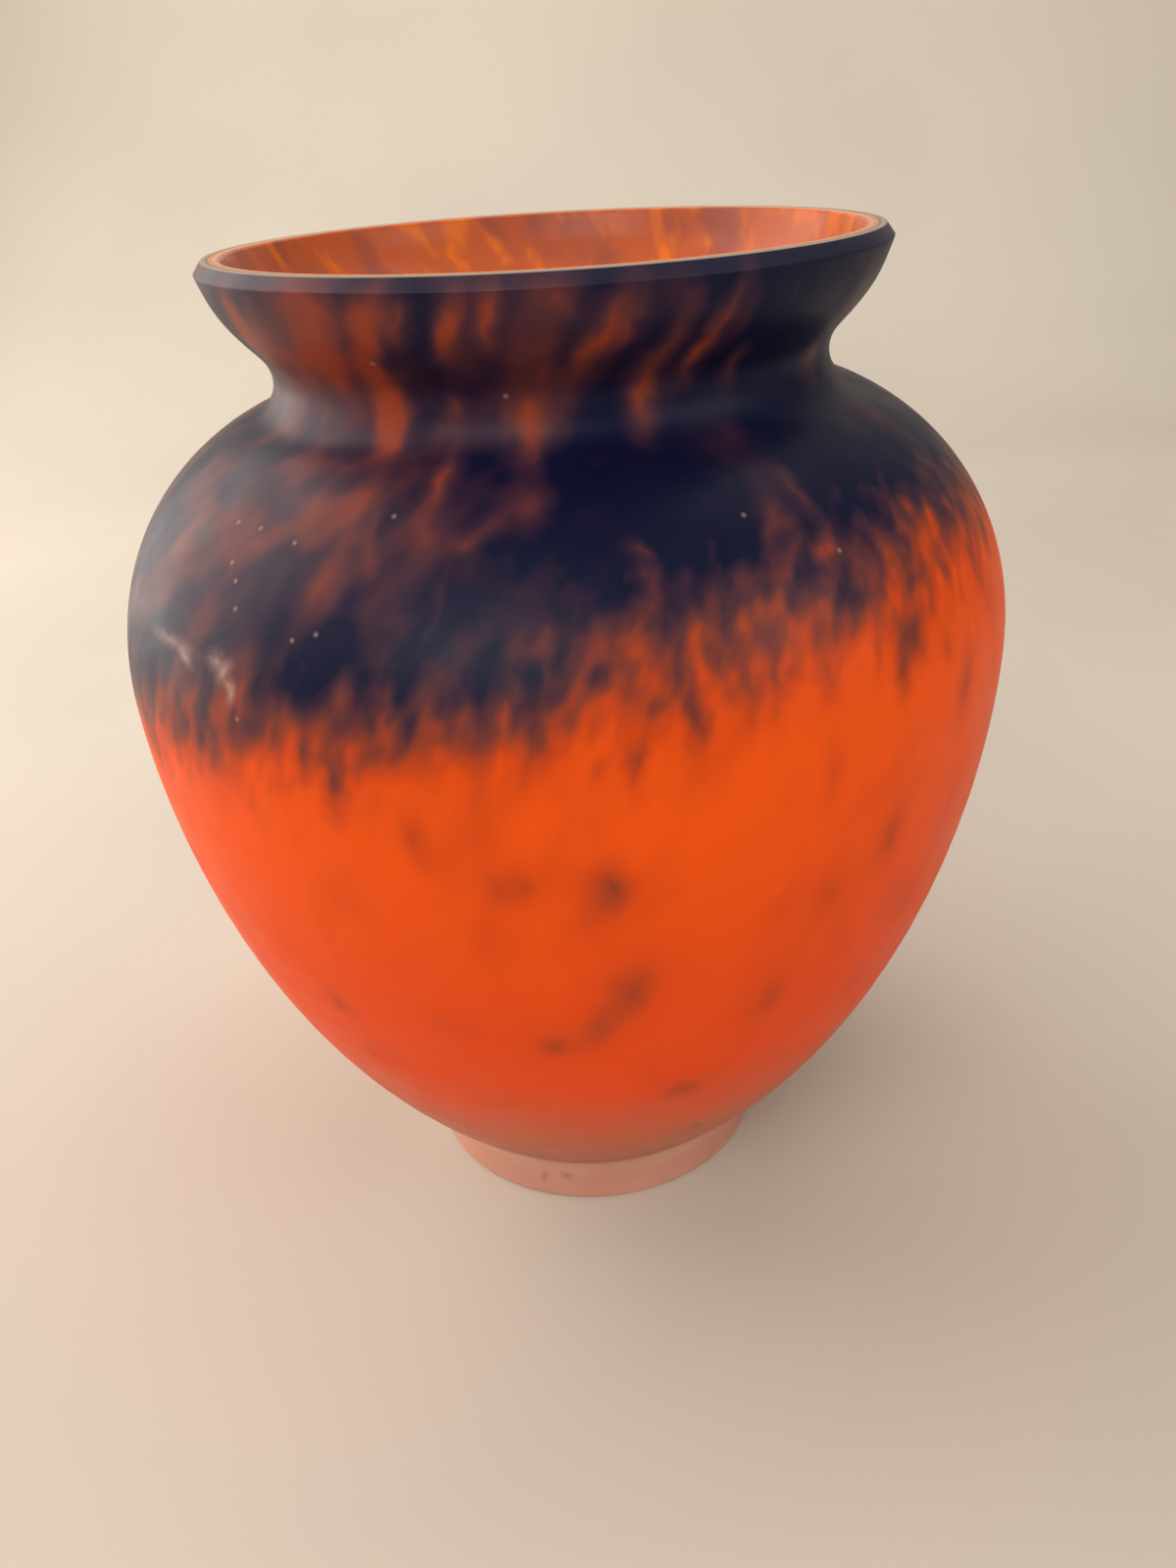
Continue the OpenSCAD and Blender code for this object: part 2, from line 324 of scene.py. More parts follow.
# %% A recipe for a finish
class Recipe:
    """A material's node tree, with short words for the nodes that the finishes use."""

    def __init__(self, name):
        self.material = bpy.data.materials.new(name)
        self.material.use_nodes = True
        self.tree = self.material.node_tree
        self.shader = self.tree.nodes["Principled BSDF"]
        place = self.add("TexCoord", {}).outputs["Object"]
        self.place = self.vector("SCALE", place, scale=1 / MM)
        self.x, self.y, self.height = self.add("SeparateXYZ", {"Vector": self.place}).outputs

    def feed(self, node, feeds):
        """Feeds a node's inputs, each from another node's output or with a plain value."""
        for key, value in feeds.items():
            if isinstance(value, bpy.types.NodeSocket):
                self.tree.links.new(value, node.inputs[key])
            else:
                node.inputs[key].default_value = value

    def add(self, kind, feeds, **settings):
        """A new node with its settings and its feeds."""
        node = self.tree.nodes.new("ShaderNode" + kind)
        for key, value in settings.items():
            setattr(node, key, value)
        self.feed(node, feeds)
        return node

    def math(self, word, a, b=0.0, c=0.0):
        """One sum on numbers, named as in the Math node."""
        return self.add("Math", {0: a, 1: b, 2: c}, operation=word).outputs[0]

    def vector(self, word, a, b=(0, 0, 0), scale=1.0):
        """One sum on places; the inputs go by number, as a switched off one can't be named."""
        node = self.add("VectorMath", {0: a, 1: b, 3: scale}, operation=word)
        return node.outputs["Value" if word == "DOT_PRODUCT" else "Vector"]

    def fade(self, value, start, end, low=0.0, high=1.0):
        """Goes smoothly from low at start to high at end, and no further."""
        feeds = {"Value": value, "From Min": start, "From Max": end,
                 "To Min": low, "To Max": high}
        return self.add("MapRange", feeds, interpolation_type="SMOOTHSTEP").outputs["Result"]

    def cloud(self, place, size, detail=2.0, roughness=0.5):
        """Soft noise from 0 to 1 whose lumps are about size millimetres across."""
        feeds = {"Vector": place, "Scale": 1 / size, "Detail": detail, "Roughness": roughness}
        return self.add("TexNoise", feeds).outputs["Fac"]

    def blend(self, share, a, b):
        """Colour a turning into colour b."""
        feeds = {0: share, 6: a, 7: b}
        return self.add("Mix", feeds, data_type="RGBA").outputs[2]

    def ramp(self, value, stops):
        """Colours by value, from a list of (position, colour)."""
        node = self.add("ValToRGB", {"Fac": value})
        line = node.color_ramp
        for position, colour in stops[1:-1]:
            line.elements.new(position).color = colour
        line.elements[0].position, line.elements[0].color = stops[0]
        line.elements[-1].position, line.elements[-1].color = stops[-1]
        return node.outputs["Color"]

    def finish(self, colour, roughness, height=None, depth=0.0, gleam=0.2):
        """Feeds the shader; the bump is height times depth in mm, and gleam its mirror strength."""
        self.shader.inputs["Specular IOR Level"].default_value = gleam
        self.feed(self.shader, {"Base Color": colour, "Roughness": roughness})
        if height is not None:
            bump = self.add("Bump", {"Height": height, "Distance": depth * MM})
            self.feed(self.shader, {"Normal": bump.outputs["Normal"]})
        print(f"{self.material.name}: {len(self.tree.nodes)} nodes")
        return self.material


def paint(red, green, blue):
    """A colour as the eye reads it, 0 to 255, turned into the linear light that shaders mix."""
    def linear(level):
        share = level / 255
        return share / 12.92 if share <= 0.04045 else ((share + 0.055) / 1.055) ** 2.4
    return (linear(red), linear(green), linear(blue), 1.0)


# %% [markdown]
# ## Powder on glass
# The colours are crushed glass, picked up by rolling the hot bubble over a marver. Where the navy
# powder lies thick it is almost black, and where it is thin the orange glows through as brown.
# So the finish is not painted colour by colour. It works out one thing, how thick the navy lies,
# and a single colour ramp turns that thickness into navy, brown or orange. The powder's edge is a
# slanted plane, as in the solids, torn into flames by noise that is drawn out along the height
# and twisted round the axis, because the blower turned the iron as the glass ran.

# %% Where the navy powder ends
NAVY_EDGE_Z = 172        # height of the slanted edge at the axis, mm
NAVY_EDGE_TILT = math.radians(10.8)
NAVY_EDGE_HEADING = math.radians(-20)
TWIST = math.radians(1.8)    # how far the streaks have turned at 100 mm up; it grows with the cube


def edge_height(recipe):
    """Height above the slanted edge of the navy, in mm."""
    slope = math.tan(NAVY_EDGE_TILT)
    lean = (-slope * math.cos(NAVY_EDGE_HEADING), -slope * math.sin(NAVY_EDGE_HEADING), 1)
    return recipe.math("SUBTRACT", recipe.vector("DOT_PRODUCT", recipe.place, lean), NAVY_EDGE_Z)


def streaked_place(recipe, stretch):
    """Places squeezed along the height and twisted, so that noise there becomes leaning streaks."""
    share = recipe.math("DIVIDE", recipe.height, 100.0)
    turn = recipe.math("MULTIPLY", recipe.math("POWER", share, 3.0), -TWIST)
    feeds = {"Vector": recipe.place, "Angle": turn}
    turned = recipe.add("VectorRotate", feeds, rotation_type="Z_AXIS").outputs["Vector"]
    return recipe.vector("MULTIPLY", turned, (1, 1, 1 / stretch))


# %% [markdown]
# ## Dabs
# Noise gives the right kind of flames, but not the few strong marks by which this vase would be
# known again: a purple knot under the edge, brown clouds low on the belly, bright streaks on the
# flare. Each is a dab, a soft ellipse that lies on the skin at a heading and a height and leans
# to one side. A spherical gradient is a soft ball of size one, and its own texture mapping moves,
# turns and stretches that ball into place. A positive dab adds navy, a negative one thins it.

# %% Lay a dab on the skin
DAB_DEPTH = 8            # how much deeper than wide a dab is, so that it reaches the skin, mm
DAB_EDGE = 1.3           # where a dab has faded away, in widths from its middle


def skin_frame(heading, height):
    """A place on the outside, in mm, with the ways round the vase, up its side and into it."""
    index = min(range(1, len(outside) - 1), key=lambda k: abs(outside[k].y - height * MM))
    point = outside[index] / MM
    rise = (outside[index + 1] - outside[index - 1]).normalized()
    outward = Vector((math.cos(heading), math.sin(heading), 0))
    round_it = Vector((-math.sin(heading), math.cos(heading), 0))
    up_it = outward * rise.x + Vector((0, 0, 1)) * rise.y
    return outward * point.x + Vector((0, 0, point.y)), round_it, up_it, up_it.cross(round_it)


def dab(recipe, place, thickness, mark):
    """Adds a dab (heading, height, width, length, lean, strength) to a thickness."""
    heading, height, width, length, lean, strength = mark
    centre, round_it, up_it, into_it = skin_frame(math.radians(heading), height)
    tip = math.radians(lean)
    across = round_it * math.cos(tip) - up_it * math.sin(tip)
    along = up_it * math.cos(tip) + round_it * math.sin(tip)
    ball = recipe.add("TexGradient", {"Vector": place}, gradient_type="QUADRATIC_SPHERE")
    ball.texture_mapping.vector_type = "TEXTURE"
    ball.texture_mapping.translation = centre
    ball.texture_mapping.rotation = Matrix((across, into_it, along)).transposed().to_euler()
    ball.texture_mapping.scale = (DAB_EDGE * width, DAB_DEPTH + width, DAB_EDGE * length)
    return recipe.math("MULTIPLY_ADD", ball.outputs["Fac"], strength, thickness)


# %% [markdown]
# ## The marks in front
# Each mark below is a heading in degrees, a height, a width and a length in mm, a lean in degrees
# and a strength. Headings are counted as on the solids: -90 faces the viewer, -180 is on the left
# and 0 on the right. The streaks lean to the right as they rise, because the glass was turned.

# %% Streaks where the navy is thin
FLARE_STREAKS = [
    (-148, 228, 8, 18, 15, -0.3), (-129, 227, 12, 26, 15, -0.45), (-124, 235, 12, 9, 10, -0.5),
    (-120, 216, 5, 13, 0, -0.65), (-117, 230, 4, 16, 25, -0.7), (-104, 232, 3.5, 9, 25, -0.8),
    (-107, 217, 3, 5, 0, -0.3), (-98, 234, 3, 8, 8, -0.65), (-94, 228, 10, 24, 10, -0.35),
    (-89, 236, 8, 8, 20, -0.5), (-83, 228, 5, 25, 25, -0.75), (-95, 215, 5, 11, 0, -0.55),
    (-71, 235, 8, 8, 20, -0.3), (-64, 230, 4, 20, 20, -0.5), (-67, 223, 3.5, 10, 10, -0.45),
    (-75, 217, 5, 12, 8, -0.6), (-58, 221, 4, 9, 0, -0.35), (-33, 217, 6, 8, 0, -0.35),
    (-140, 228, 24, 22, 10, -0.3), (-127, 224, 26, 24, 10, -0.25), (-98, 226, 30, 24, 0, -0.15),
    (-111, 234, 4, 8, 20, -0.45), (-79, 229, 4, 14, 22, -0.4), (-72, 226, 3.5, 14, 20, -0.4),
    (-60, 230, 3.5, 12, 20, -0.25), (-91, 222, 4, 12, 5, -0.35), (-52, 234, 4, 8, 20, -0.2),
    (-75, 222, 22, 20, 0, -0.1), (-31, 227, 8, 16, 10, -0.4)]
SHOULDER_STREAKS = [
    (-146, 187, 16, 14, 0, -0.2), (-141, 194, 8, 9, 0, -0.2), (-134, 195, 9, 9, 0, -0.2),
    (-125, 202, 5, 12, 0, -0.15), (-119, 209, 6, 12, 0, -0.3), (-118, 200, 7, 15, 0, -0.15),
    (-119, 190, 6, 12, 8, -0.2), (-114, 196, 3, 16, -12, -0.25), (-107, 205, 3.5, 14, 5, -0.5),
    (-94, 207, 4.5, 18, 0, -0.3), (-94, 201, 5, 8, 0, -0.25), (-99, 199, 4, 10, 35, -0.35),
    (-102, 196, 5, 5, 60, -0.3), (-107, 198, 8, 5, 80, -0.2), (-104, 190, 2.5, 14, 0, -0.2),
    (-107, 184, 3, 6, 40, -0.15), (-81, 194, 4.5, 4.5, 70, -0.35), (-63, 195, 5, 14, 12, -0.35),
    (-58, 199, 3.5, 14, -5, -0.3), (-59, 191, 5, 5, 30, -0.4), (-61, 207, 8, 12, 10, -0.15),
    (-117, 203, 24, 34, 0, -0.2), (-136, 196, 30, 28, 0, -0.2), (-62, 204, 14, 26, 0, -0.1),
    (-26, 205, 10, 14, 0, -0.3)]
print(f"{len(FLARE_STREAKS)} streaks on the flare, {len(SHOULDER_STREAKS)} on the shoulder")

# %% Tongues of navy and flames of orange along the edge
EDGE_TONGUES = [
    (-139, 158, 4, 10, 10, 0.2), (-133, 158, 7, 10, 20, 0.25), (-119, 162, 3, 10, -5, 0.25),
    (-115, 158, 4, 12, 12, 0.4), (-107, 167, 6, 10, 10, 0.3), (-98, 168, 9, 16, 12, 0.3),
    (-93, 169, 5, 14, 0, 0.3), (-96, 176, 12, 12, 0, 0.25), (-84, 163, 3.5, 12, 15, 0.3),
    (-78, 168, 3.5, 12, 5, 0.3), (-72, 171, 4, 12, 5, 0.25), (-69, 173, 4, 14, 5, 0.25),
    (-63, 172, 3, 7, 0, 0.25), (-58, 183, 8, 10, 10, 0.4), (-50, 173, 8, 11, 25, 0.45),
    (-52, 166, 4, 9, 10, 0.3), (-44, 167, 4, 7, 0, 0.2), (-47, 182, 6, 8, 0, 0.2),
    (-32, 177, 6, 8, 0, 0.15), (-106, 178, 16, 14, 0, 0.35), (-117, 176, 10, 12, 0, 0.25)]
EDGE_FLAMES = [
    (-109, 172, 3, 12, 0, -0.3), (-97, 171, 2.5, 16, 8, -0.25), (-93, 180, 3, 12, 0, -0.2),
    (-85, 182, 5, 8, 20, -0.2), (-81, 187, 3, 9, 0, -0.25), (-77, 183, 3, 9, -5, -0.25),
    (-72, 183, 3, 8, 0, -0.2), (-67, 184, 5, 8, 0, -0.2), (-50, 185, 3, 10, 0, -0.2),
    (-42, 187, 6, 9, 15, -0.25), (-38, 189, 8, 6, 0, -0.2)]
print(f"{len(EDGE_TONGUES)} tongues and {len(EDGE_FLAMES)} flames along the edge")

# %% Stray grains on the belly
BELLY_GRAINS = [
    (-87, 137, 7, 11, -8, 0.35), (-88, 134, 9, 13, -8, 0.1), (-85, 109, 12, 20, 8, 0.35),
    (-95, 93, 12, 13, 0, 0.3), (-89, 98, 9, 15, 0, 0.2), (-99, 137, 8, 12, 0, 0.2),
    (-96, 138, 7, 9, 0, 0.2), (-90, 128, 9, 12, 0, 0.15), (-107, 147, 5, 10, 0, 0.2),
    (-125, 96, 9, 11, 0, 0.2), (-124, 79, 11, 11, 0, 0.2), (-109, 98, 9, 9, 0, 0.15),
    (-105, 97, 8, 8, 0, 0.15), (-67, 98, 13, 24, 0, 0.25), (-53, 130, 8, 14, 0, 0.25),
    (-61, 122, 11, 16, 0, 0.2), (-77, 70, 14, 15, 0, 0.3), (-45, 108, 11, 13, 0, 0.2),
    (-40, 156, 6, 13, 20, 0.2), (-63, 152, 4, 14, 0, 0.15), (-71, 45, 3, 6, -30, 0.6)]
print(f"{len(BELLY_GRAINS)} grains on the belly")

# %% [markdown]
# ## The marks behind
# The far side needs marks of the same kind, but no particular ones. Choosing them by chance is
# quick, and a fixed seed makes the same choice in every run. The headings start and end a little
# past the sides, so that the placed and the scattered marks run into each other.

# %% Scatter the marks of the far side
FAR_STREAKS = 26
FAR_GRAINS = 14
FLARE_SHARE = 0.4        # share of the streaks that are on the flare, not on the shoulder
random.seed(7)
far_marks = []


def far_heading():
    """Any heading on the side without the listed marks."""
    return random.uniform(-5, 185)


for _ in range(FAR_STREAKS):
    on_flare = random.random() < FLARE_SHARE
    height = random.uniform(214, 236) if on_flare else random.uniform(186, 210)
    far_marks.append((far_heading(), height, random.uniform(3, 7), random.uniform(10, 22),
                      random.uniform(5, 28), random.uniform(-0.7, -0.35)))
for _ in range(FAR_GRAINS):
    far_marks.append((far_heading(), random.uniform(75, 140), random.uniform(4, 9),
                      random.uniform(6, 13), random.uniform(-15, 20), random.uniform(0.12, 0.45)))
print(f"{len(far_marks)} marks scattered on the far side")


# %% [markdown]
# ## The casing's finish
# The clear casing is frosted, so nothing is seen through it sharply: the powder below reads as
# colour in the skin itself. The finish is therefore an opaque satin shader that carries the
# powder's colours. Low down the orange thins out and the frosted glass shows pale and brownish.
# The ground bevel and rim are greyer than the skin because the wheel left them white and rough.

# %% Colours of the powder by thickness
ORANGE = paint(255, 89, 3)
THICKNESS_COLOURS = [
    (0.0, ORANGE),
    (0.2, paint(206, 70, 18)),
    (0.4, paint(148, 60, 36)),
    (0.6, paint(98, 48, 48)),
    (0.8, paint(60, 34, 50)),
    (1.0, paint(14, 16, 46))]
SHADED_ORANGE = paint(236, 70, 0)      # painted shade: the orange darker low on the belly
PALE_BASE = paint(188, 114, 84)      # the frosted glass just above the foot
GROUND_RIM = paint(158, 140, 124)
BEVEL_GREY = paint(104, 92, 96)
SCUFF = paint(215, 176, 158)

# %% How thick the navy lies
FLAME_STRETCH = 2.0      # how many times longer than wide a flame is
FLAME_SIZE = 4.2         # width of a flame, mm
FLAME_REACH = 20.0       # how far the flames carry the edge up and down, mm
EDGE_START = -19.0       # from here to here above the slanted edge the coat grows full, mm
EDGE_FULL = 16.0
NAVY_FULL = 0.98         # thickness of an even coat, to which the veil is added
VEIL_START = -34.0       # the same for the veil, a dust that reaches further down than the coat
VEIL_FULL = -6.0
VEIL = 0.12              # thickness of that dust
LEAST_START = 8.0        # and for the least cover, which no streak takes away
LEAST_FULL = 30.0
LEAST = 0.42
RIPPLE_SIZE = 6.0        # size and reach of the ripples that make a dab's edge uneven, mm
RIPPLE_REACH = 4.5
GRAIN_RIPPLE = 0.4       # share of that reach for the grains, which stay rounder
JOINT_SOFTNESS = 0.4     # how softly the thinned streaks meet the least cover under them


def even_coat(recipe, mottle):
    """The coat above its edge: patchy on the far side, cloudy on the left and even in front."""
    drift = recipe.cloud(streaked_place(recipe, 2.5), 12.0, detail=2.0)
    far_side = recipe.fade(recipe.y, -22.0, 2.0)
    left_side = recipe.fade(recipe.x, 25.0, -55.0, 0.15, 1.0)
    bare = recipe.math("MULTIPLY", recipe.fade(drift, 0.48, 0.68, 0.0, 0.6), far_side)
    thin = recipe.math("MULTIPLY", recipe.fade(mottle, 0.35, 0.62, 0.35, 0.1), left_side)
    return recipe.math("SUBTRACT", NAVY_FULL, recipe.math("MAXIMUM", bare, thin))


def navy_thickness(recipe):
    """How thick the navy powder lies, from 0 to about 1."""
    above = edge_height(recipe)
    flames = recipe.cloud(streaked_place(recipe, FLAME_STRETCH), FLAME_SIZE, detail=0.8)
    mottle = recipe.cloud(streaked_place(recipe, 1.6), 12.0, detail=1.5)
    tear = recipe.math("SUBTRACT", flames, 0.5)
    torn = recipe.math("MULTIPLY_ADD", tear, FLAME_REACH, above)
    edge = recipe.fade(torn, EDGE_START, EDGE_FULL)
    veil = recipe.fade(torn, VEIL_START, VEIL_FULL, 0.0, VEIL)
    thickness = recipe.math("MULTIPLY_ADD", edge, even_coat(recipe, mottle), veil)

    feeds = {"Vector": recipe.place, "Scale": 1 / RIPPLE_SIZE, "Detail": 1.0}
    ripple = recipe.add("TexNoise", feeds).outputs["Color"]
    shift = recipe.vector("SUBTRACT", ripple, (0.5, 0.5, 0.5))
    shift = recipe.vector("SCALE", shift, scale=RIPPLE_REACH)
    rippled = recipe.vector("ADD", recipe.place, shift)
    nudged = recipe.vector("ADD", recipe.place, recipe.vector("SCALE", shift, scale=GRAIN_RIPPLE))
    for mark in FLARE_STREAKS + SHOULDER_STREAKS + EDGE_TONGUES + EDGE_FLAMES + far_marks:
        thickness = dab(recipe, rippled, thickness, mark)
    for mark in BELLY_GRAINS:
        thickness = dab(recipe, nudged, thickness, mark)

    high = recipe.math("MULTIPLY_ADD", flames, 12.0, above)
    least = recipe.fade(high, LEAST_START, LEAST_FULL, 0.0, LEAST)
    thickness = recipe.math("SMOOTH_MAX", thickness, least, JOINT_SOFTNESS)
    return recipe.math("ADD", thickness, recipe.fade(mottle, 0.45, 0.85, -0.02, 0.06))


# %% [markdown]
# ## What lies on the skin
# A few white specks and one scuff sit on the left shoulder, on the skin and not under it. They
# are dabs too, but they are mixed in as a colour after the powder, each as heading and height,
# and for a scuff mark also width and length in mm and lean in degrees.

# %% The frosted skin over the powder
SPECK_R = 0.7            # radius of a speck, mm
SPECK_STRENGTH = 0.45
WHITE_SPECKS = [
    (-137, 196.5), (-132, 196.7), (-125, 195), (-112, 200), (-132, 188.5), (-121, 180.5),
    (-130.5, 184), (-134, 191), (-118, 183), (-128, 165), (-67, 197.5), (-56.5, 189),
    (-118.5, 224.5), (-98, 217.5)]
SCUFF_MARKS = [
    (-141.5, 174.5, 12, 2.0, 0), (-138, 172.4, 4, 1.6, 20), (-132, 175, 4, 3, 10),
    (-130.5, 173.3, 4, 2, -50), (-129.5, 171.8, 2, 2, 0), (-129, 169, 1.6, 3.6, 15)]
SHADE_START_Z = 155.0     # from here down to here the painted shade on the orange grows, mm
SHADE_FULL_Z = 85.0
PALE_START_Z = 80.0      # and from here down to here it thins out to the pale base, mm
PALE_FULL_Z = 26.0
MIST_REACH = 22.0        # how far that thinning wanders up and down, mm
RIM_Z = VASE_H / MM      # height of the ground rim, mm
BEVEL_Z = RIM_Z - 2.5    # height where the bevel starts, mm
SATIN_GRAIN = 0.35       # size of the grain that acid leaves, mm
SATIN_DEPTH = 0.02       # depth of that grain, mm


def ground_rim(recipe, colour, cut):
    """The colour, but with another one on the flat cut of the rim."""
    return recipe.blend(recipe.fade(recipe.height, RIM_Z - 0.2, RIM_Z - 0.05), colour, cut)


def powder_colour(recipe):
    """The powders as they show through the skin, from the pale base up to the navy."""
    thickness = navy_thickness(recipe)
    colour = recipe.ramp(thickness, THICKNESS_COLOURS)
    # painted shade: where there is no navy, the orange grows darker towards the bottom of the belly
    low_shade = recipe.fade(recipe.height, SHADE_START_Z, SHADE_FULL_Z, 0.0, 0.7)
    no_navy = recipe.fade(thickness, 0.1, 0.25, 1.0, 0.0)
    colour = recipe.blend(recipe.math("MULTIPLY", low_shade, no_navy), colour, SHADED_ORANGE)
    mist = recipe.math("SUBTRACT", recipe.cloud(recipe.place, 28.0), 0.5)
    misty_height = recipe.math("MULTIPLY_ADD", mist, MIST_REACH, recipe.height)
    pale = recipe.fade(misty_height, PALE_START_Z, PALE_FULL_Z, 0.0, 0.95)
    return recipe.blend(pale, colour, PALE_BASE)


def skin_marks(recipe):
    """Where the specks and the scuff lie, from 0 to 1."""
    white = 0.0
    for spot in WHITE_SPECKS:
        white = dab(recipe, recipe.place, white, (*spot, SPECK_R, SPECK_R, 0, SPECK_STRENGTH))
    scuffed = 0.0
    for mark in SCUFF_MARKS:
        scuffed = dab(recipe, recipe.place, scuffed, (*mark, 1.0))
    worn = recipe.fade(recipe.cloud(recipe.place, 3.0), 0.25, 0.6, 0.15, 0.42)
    return recipe.math("MAXIMUM", white, recipe.math("MULTIPLY", scuffed, worn))


def frosted_casing():
    """The finish of the casing."""
    recipe = Recipe("frosted_casing")
    colour = recipe.blend(skin_marks(recipe), powder_colour(recipe), SCUFF)
    bevel = recipe.fade(recipe.height, BEVEL_Z - 0.2, BEVEL_Z + 0.2, 0.0, 0.1)
    colour = recipe.blend(bevel, colour, BEVEL_GREY)
    colour = ground_rim(recipe, colour, GROUND_RIM)
    grain = recipe.cloud(recipe.place, SATIN_GRAIN, detail=1.0)
    roughness = recipe.fade(recipe.cloud(recipe.place, 12.0), 0.3, 0.7, 0.40, 0.48)
    return recipe.finish(colour, roughness, grain, SATIN_DEPTH, gleam=0.14)


casing.data.materials.append(frosted_casing())

# %% [markdown]
# ## The clear foot
# The foot is solid clear glass with an acid frosted skin. It gathers the orange light from above and
# the colour of what it stands on, so it reads as pale and pinkish, with a painted highlight, a paler
# band, in the hollow fillet. Two tiny seeds, the glassmaker's word for bubbles and specks, are dabs
# again.

# %% The foot's finish
FOOT_PINK = paint(206, 146, 126)
# painted highlight of the hollow fillet
FILLET_HIGHLIGHT = paint(216, 166, 142)
SEED_BROWN = paint(120, 60, 50)
FOOT_SEEDS = [(-110, 6.7, 1.2, 3.2, 20, 0.5), (-102, 7.9, 2.4, 1.6, 20, 0.5)]


def frosted_foot():
    """The finish of the foot."""
    recipe = Recipe("frosted_foot")
    # painted highlight: the colour turns paler from 7 to 14 mm up, along the hollow fillet
    colour = recipe.blend(recipe.fade(recipe.height, 7.0, 14.0), FOOT_PINK, FILLET_HIGHLIGHT)
    mist = recipe.cloud(recipe.place, 14.0, detail=3.0)
    colour = recipe.blend(recipe.fade(mist, 0.3, 0.8, 0.0, 0.25), colour, PALE_BASE)
    seeds = 0.0
    for mark in FOOT_SEEDS:
        seeds = dab(recipe, recipe.place, seeds, mark)
    colour = recipe.blend(seeds, colour, SEED_BROWN)
    grain = recipe.cloud(recipe.place, SATIN_GRAIN, detail=1.0)
    roughness = recipe.fade(mist, 0.3, 0.7, 0.40, 0.50)
    return recipe.finish(colour, roughness, grain, SATIN_DEPTH)


foot.data.materials.append(frosted_foot())

# %% [markdown]
# ## The lining
# Inside the mouth the glass is fire polished, so it is glossier than the skin. The orange powder
# shows through the terracotta in leaning streaks, and the navy behind it as dull purple clouds.

# %% The lining's finish
TERRACOTTA = paint(190, 92, 52)
GLOWING = paint(228, 114, 36)
DULL_PURPLE = paint(140, 76, 66)
PEACH_CUT = paint(205, 145, 112)
POLISHED_DEPTH = 0.05    # depth of the waves that the fire left, mm


def polished_lining():
    """The finish of the lining."""
    recipe = Recipe("polished_lining")
    streaks = recipe.cloud(streaked_place(recipe, 4.0), 7.0)
    clouds = recipe.cloud(streaked_place(recipe, 2.0), 16.0)
    colour = recipe.blend(recipe.fade(clouds, 0.45, 0.70, 0.0, 0.7), TERRACOTTA, DULL_PURPLE)
    colour = recipe.blend(recipe.fade(streaks, 0.48, 0.74, 0.0, 0.9), colour, GLOWING)
    colour = ground_rim(recipe, colour, PEACH_CUT)
    roughness = recipe.fade(clouds, 0.3, 0.7, 0.24, 0.34)
    return recipe.finish(colour, roughness, clouds, POLISHED_DEPTH, gleam=0.15)


lining.data.materials.append(polished_lining())

# %% [markdown]
# ## The hidden coats
# The coats between casing and lining only show as thin rings on the ground rim, but a solid is
# looked at on its own too, so each has its own mottled finish. It is the same recipe three times,
# with a light, a dark and a cut colour.

# %% The coats' finishes
MELTED_DEPTH = 0.06      # depth of the bumps between melted grains, mm


def melted_powder(name, light, dark, cut):
    """Crushed glass melted into a skin: two mottled shades, and the colour of its ground edge."""
    recipe = Recipe(name)
    mottle = recipe.cloud(streaked_place(recipe, 2.5), 3.0, detail=4.0, roughness=0.65)
    colour = recipe.blend(recipe.fade(mottle, 0.35, 0.65), light, dark)
    colour = ground_rim(recipe, colour, cut)
    roughness = recipe.fade(mottle, 0.3, 0.7, 0.30, 0.45)
    return recipe.finish(colour, roughness, mottle, MELTED_DEPTH)


COAT_SHADES = {
    "navy_coat": ("navy_powder", paint(34, 36, 72), paint(12, 13, 34), paint(120, 104, 92)),
    "navy_grains": ("navy_grains", paint(70, 30, 44), paint(26, 18, 38), paint(70, 30, 44)),
    "orange_coat": ("orange_powder", ORANGE, paint(214, 58, 4), paint(205, 130, 66)),
}
for node, shades in COAT_SHADES.items():
    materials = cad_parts[node].data.materials
    materials.clear()
    materials.append(melted_powder(*shades))

# %% [markdown]
# ## Handing the pieces to the frame
# The CAD solids of the foot, the casing and the lining stay in the model for weight and collision,
# but are hidden, because the finer pieces stand for them. Every piece rides on the one body there
# is: nothing on a vase moves.

# %% Hide each solid that a piece stands for, and hang the piece on the body
for piece, node, slot in (
        (foot, "foot", "frosted_foot_glass"),
        (casing, "clear_casing", "frosted_casing_glass"),
        (lining, "orange_lining", "lining_glass")):
    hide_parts(node)
    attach(piece, "root")
    print(f"{piece.name} stands for {node}")

# %% [markdown]
# ## The sheet under and behind the vase
# A satin skin is mostly shown by what it reflects at a glancing angle, so what stands round the
# vase matters. A floor and a wall could be two planes, but their corner would draw a line behind
# the glass. One pale sheet that sweeps up from the floor in a quarter circle leaves no line.

# %% Floor and wall
FLOOR_REACH = 1.6        # how far the floor comes forward, m
SHEET_HALF = 2.4         # half the width of the sheet, m
WALL_PLACE = 1.1         # how far back the wall stands, m
WALL_H = 1.6
SWEEP_R = 0.35
SWEEP_STEPS = 12
sweep = [(-FLOOR_REACH, 0.0)]
for step in range(SWEEP_STEPS + 1):
    turn = math.radians(90) * step / SWEEP_STEPS
    y = WALL_PLACE - SWEEP_R + SWEEP_R * math.sin(turn)
    sweep.append((y, SWEEP_R - SWEEP_R * math.cos(turn)))
sweep.append((WALL_PLACE, WALL_H))
sheet_places = [(side * SHEET_HALF, y, z) for y, z in sweep for side in (-1, 1)]
sheet_faces = [(2 * i, 2 * i + 1, 2 * i + 3, 2 * i + 2) for i in range(len(sweep) - 1)]
sheet_mesh = bpy.data.meshes.new("floor")
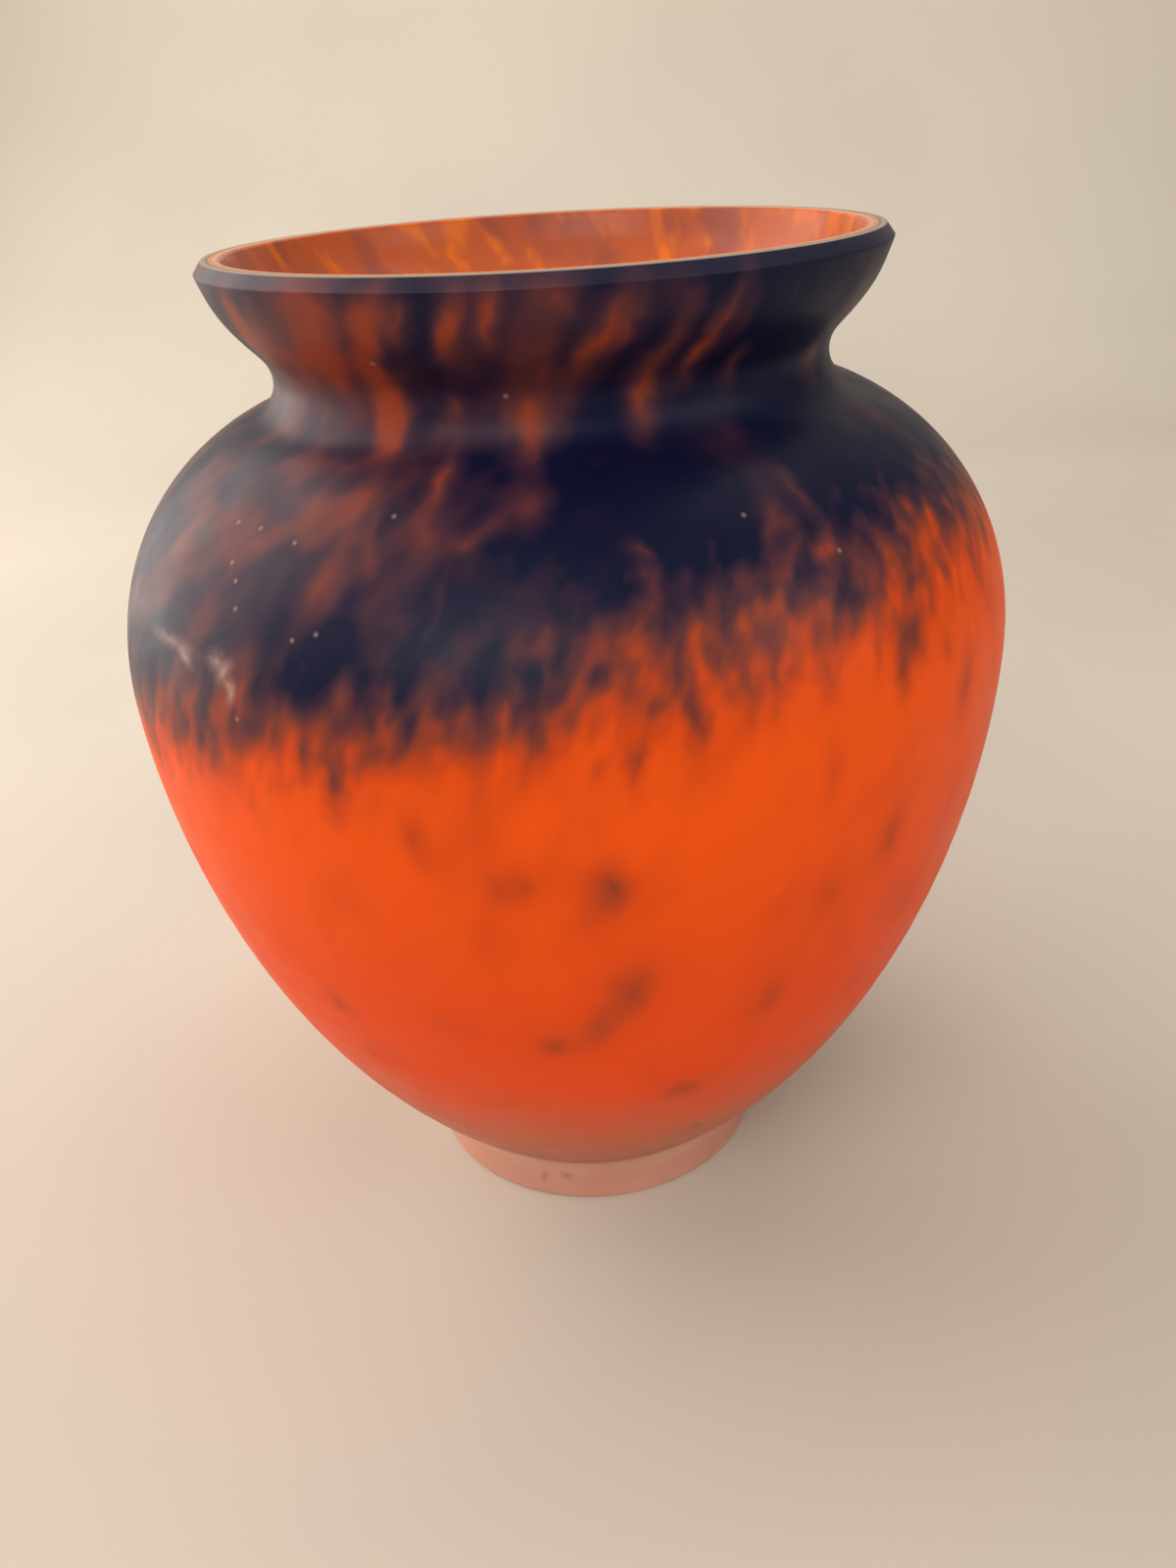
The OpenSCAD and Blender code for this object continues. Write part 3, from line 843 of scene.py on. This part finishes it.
sheet_mesh.from_pydata(sheet_places, [], sheet_faces)
sheet_mesh.polygons.foreach_set("use_smooth", [True] * len(sheet_faces))
floor = bpy.data.objects.new("floor", sheet_mesh)
bpy.context.scene.collection.objects.link(floor)
paper = Recipe("pale_floor")
tone = paper.fade(paper.cloud(paper.place, 300.0), 0.3, 0.7)
paper_colour = paper.blend(tone, paint(196, 187, 174), paint(203, 194, 181))
floor.data.materials.append(paper.finish(paper_colour, 0.8))

# %% [markdown]
# ## The lights
# A large soft light on the left works like a window and gives the haze on the left shoulder. A
# weaker one in front shows the colours, a small one on the right keeps the shadow side from
# going black, and one behind the vase washes the wall. A dim, slightly cool sky fills the rest.

# %% Lights and sky
def soft_light(name, place, aim, size, power, colour):
    """A rectangular lamp that faces the point it is aimed at."""
    lamp = bpy.data.lights.new(name, "AREA")
    lamp.shape = "RECTANGLE"
    lamp.size, lamp.size_y = size
    lamp.energy = power
    lamp.color = colour
    light = bpy.data.objects.new(name, lamp)
    light.location = place
    light.rotation_euler = (Vector(aim) - Vector(place)).to_track_quat("-Z", "Y").to_euler()
    bpy.context.scene.collection.objects.link(light)
    print(f"{name}: {power} W")


MIDDLE = (0, 0, 0.12)
WALL_SPOT = (0.2, 1.1, 0.5)
DAYLIGHT = (1.0, 0.93, 0.85)
WARM_WHITE = (1.0, 0.97, 0.92)
WARM_WALL = (1.0, 0.96, 0.90)
SKY_COLOUR = (0.92, 0.93, 0.95, 1)
SKY_STRENGTH = 0.2
soft_light("window", (-0.85, 0.35, 0.5), MIDDLE, (1.0, 1.2), 13.5, DAYLIGHT)
soft_light("front", (-0.45, -1.0, 0.9), MIDDLE, (0.9, 0.7), 9.5, WARM_WHITE)
soft_light("right_fill", (0.9, -0.6, 0.6), MIDDLE, (0.7, 0.7), 4, WARM_WHITE)
soft_light("wall_wash", (0.2, 0.3, 1.3), WALL_SPOT, (1.2, 0.3), 9, WARM_WALL)
world = bpy.data.worlds.new("studio")
world.use_nodes = True
sky = world.node_tree.nodes["Background"]
sky.inputs["Color"].default_value = SKY_COLOUR
sky.inputs["Strength"].default_value = SKY_STRENGTH
bpy.context.scene.world = world
bpy.context.scene.view_settings.view_transform = "Standard"
